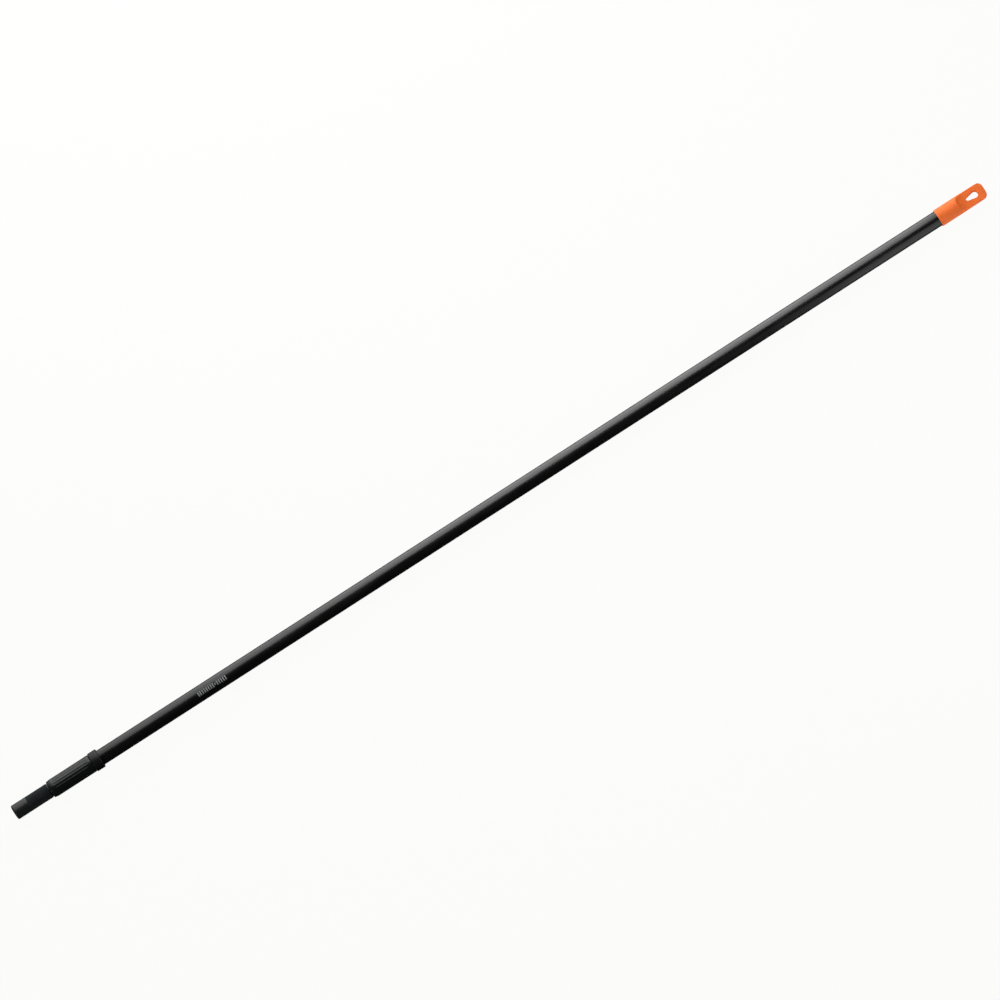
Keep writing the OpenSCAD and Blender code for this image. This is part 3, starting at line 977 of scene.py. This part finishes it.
class POLE_OT_stage(PoleOperator, bpy.types.Operator):
    """Makes the pale floor, the studio light and the camera"""

    bl_idname = "pole.stage"
    bl_label = "Stage"

    def execute(self, context):
        make_floor()
        make_lights()
        make_camera()
        return {"FINISHED"}


FLOOR_GAP = 0.2 * MM
FLOOR_SIZE = 60.0

# The floor glows evenly and takes little light, so the banks leave hardly a mark on it
FLOOR_TAKES = 0.02
FLOOR_GLOW = 0.99


def make_floor():
    """A pale floor just under the pole."""
    low = cad_bounds[0].z - FLOOR_GAP
    half = FLOOR_SIZE / 2
    mesh = bpy.data.meshes.new("floor")
    corners = [(-half, -half, low), (half, -half, low), (half, half, low), (-half, half, low)]
    mesh.from_pydata(corners, [], [(0, 1, 2, 3)])
    floor = add_object("floor", mesh)
    shade = tuple(colours().floor)
    taken = [c * FLOOR_TAKES for c in shade]
    material, _, _ = new_surface("pale_floor", Roughness=0.9, Specular_IOR_Level=0.1,
                                 Base_Color=(*taken, 1), Emission_Color=(*shade, 1),
                                 Emission_Strength=FLOOR_GLOW)
    mesh.materials.append(material)
    floor.visible_glossy = False
    floor.visible_shadow = False


def sun(name, towards, energy, spread_degrees):
    """A soft light from far off that shines along a direction."""
    data = bpy.data.lights.new(name, "SUN")
    data.energy = energy
    data.angle = math.radians(spread_degrees)
    light = add_object(name, data)
    light.rotation_mode = "QUATERNION"
    light.rotation_quaternion = Vector(towards).to_track_quat("-Z", "Y")
    light.visible_camera = False


def bank(name, start, end, tilt_degrees, distance, height, radiance):
    """A long soft bank of light beside the pole.

    tilt_degrees is its middle's angle from straight up, towards +Y.
    """
    tilt = math.radians(tilt_degrees)
    outward = Vector((0, math.sin(tilt), math.cos(tilt)))
    data = bpy.data.lights.new(name, "AREA")
    data.shape = "RECTANGLE"
    data.size, data.size_y = end - start, height
    data.energy = radiance * math.pi * data.size * height
    light = add_object(name, data)
    light.location = outward * distance + Vector(((start + end) / 2, 0, 0))
    side = Vector((1, 0, 0))
    light.rotation_mode = "QUATERNION"
    light.rotation_quaternion = Matrix((side, outward.cross(side), outward)).transposed().to_quaternion()
    light.visible_camera = False


# The key light is four banks end to end, so it builds up along the pole: each one's start, end and radiance
KEY_BANKS = ((-0.3, 0.2, 2.2), (0.2, 0.5, 3.0), (0.5, 0.8, 4.0), (0.8, 1.72, 4.6))
KEY_TILT, KEY_DISTANCE, KEY_HEIGHT = 71, 1.1, 2.36

# A smaller bank lights the hang cap from the other side: its start and end are from the cap's end
CAP_BANK = (-0.23, 0.67)
CAP_TILT, CAP_DISTANCE, CAP_HEIGHT, CAP_RADIANCE = -76, 0.6, 1.1, 1.3

# Two fills shine along the pole from its two ends
FILL_DIRECTIONS = ((0.85, 0.4, -0.35), (-0.85, 0.4, -0.35))
FILL_ENERGY = 0.7
FILL_SPREAD = 20

# The surroundings light the pole faintly, and look like the floor to the camera
AMBIENT_COLOUR = "#dfe3e6"
AMBIENT_STRENGTH = 0.02
BACKDROP_STRENGTH = 0.95


def make_lights():
    """The studio's banks, fills and surroundings."""
    cap_end = end_of("hang_cap")
    for start, end, radiance in KEY_BANKS:
        bank("key_bank", start, end, KEY_TILT, KEY_DISTANCE, KEY_HEIGHT, radiance)
    bank("cap_side_bank", cap_end + CAP_BANK[0], cap_end + CAP_BANK[1], CAP_TILT, CAP_DISTANCE, CAP_HEIGHT,
         CAP_RADIANCE)
    for direction in FILL_DIRECTIONS:
        sun("fill_bank", direction, FILL_ENERGY, FILL_SPREAD)
    world = bpy.data.worlds.new("studio")
    bpy.context.scene.world = world
    world.use_nodes = True
    tree = world.node_tree
    ambient = tree.nodes["Background"]
    ambient.inputs["Color"].default_value = (*hex_colour(AMBIENT_COLOUR), 1)
    ambient.inputs["Strength"].default_value = AMBIENT_STRENGTH
    backdrop = add_node(tree, "ShaderNodeBackground", Color=(*colours().floor, 1), Strength=BACKDROP_STRENGTH)
    rays = add_node(tree, "ShaderNodeLightPath")
    mix = add_node(tree, "ShaderNodeMixShader")
    tree.links.new(rays.outputs["Is Camera Ray"], mix.inputs[0])
    tree.links.new(ambient.outputs[0], mix.inputs[1])
    tree.links.new(backdrop.outputs[0], mix.inputs[2])
    tree.links.new(mix.outputs[0], tree.nodes["World Output"].inputs["Surface"])


# The camera looks down on the pole from far off, a little from its -Y side. The pole runs up to the right,
# and is a little longer than the picture is wide.
CAMERA_ROLL = math.radians(-32.775)
CAMERA_TILT = math.radians(8)
CAMERA_DISTANCE = 9.0
PICTURE_WIDTH = 1.34988
PICTURE_ALONG = 1.4 * MM
PICTURE_ASIDE = 0.5 * MM
SENSOR_WIDTH = 36
CLIP_END = 100


def make_camera():
    """A long lens over the middle of the pole."""
    low, high = cad_bounds
    data = bpy.data.cameras.new("camera")
    data.sensor_width = SENSOR_WIDTH
    data.lens = SENSOR_WIDTH * CAMERA_DISTANCE / PICTURE_WIDTH
    data.clip_end = CLIP_END
    camera = add_object("camera", data)
    middle = Matrix.Translation(((low.x + high.x) / 2 + PICTURE_ALONG, 0, 0))
    facing = Matrix.Rotation(CAMERA_TILT, 4, "X")
    back = Matrix.Translation((0, PICTURE_ASIDE, CAMERA_DISTANCE))
    camera.matrix_world = middle @ facing @ back @ Matrix.Rotation(CAMERA_ROLL, 4, "Z")
    bpy.context.scene.camera = camera
    bpy.context.scene.view_settings.view_transform = "Standard"


OPERATORS = (POLE_OT_stage, POLE_OT_tubes, POLE_OT_print, POLE_OT_hang_cap, POLE_OT_grip_nut,
             POLE_OT_lock_base, POLE_OT_spigot, POLE_OT_inner_pieces)


class POLE_PT_panel(bpy.types.Panel):
    """Lists the pole's pieces, sizes and colours"""

    bl_idname = "POLE_PT_panel"
    bl_label = "Extension pole"
    bl_space_type = "VIEW_3D"
    bl_region_type = "UI"
    bl_category = "Pole"

    def draw(self, context):
        for operator in OPERATORS:
            self.layout.operator(operator.bl_idname)
        for group in (context.scene.pole_sizes, context.scene.pole_colours):
            box = self.layout.box()
            for name in group.__annotations__:
                box.prop(group, name)


CLASSES = (PoleSizes, PoleColours, *OPERATORS, POLE_PT_panel)


def register():
    for cls in CLASSES:
        bpy.utils.register_class(cls)
    bpy.types.Scene.pole_sizes = PointerProperty(type=PoleSizes)
    bpy.types.Scene.pole_colours = PointerProperty(type=PoleColours)


def unregister():
    del bpy.types.Scene.pole_colours
    del bpy.types.Scene.pole_sizes
    for cls in reversed(CLASSES):
        bpy.utils.unregister_class(cls)


def main():
    register()
    for operator in OPERATORS:
        family, action = operator.bl_idname.split(".")
        getattr(getattr(bpy.ops, family), action)()


if __name__ == "__main__":
    main()
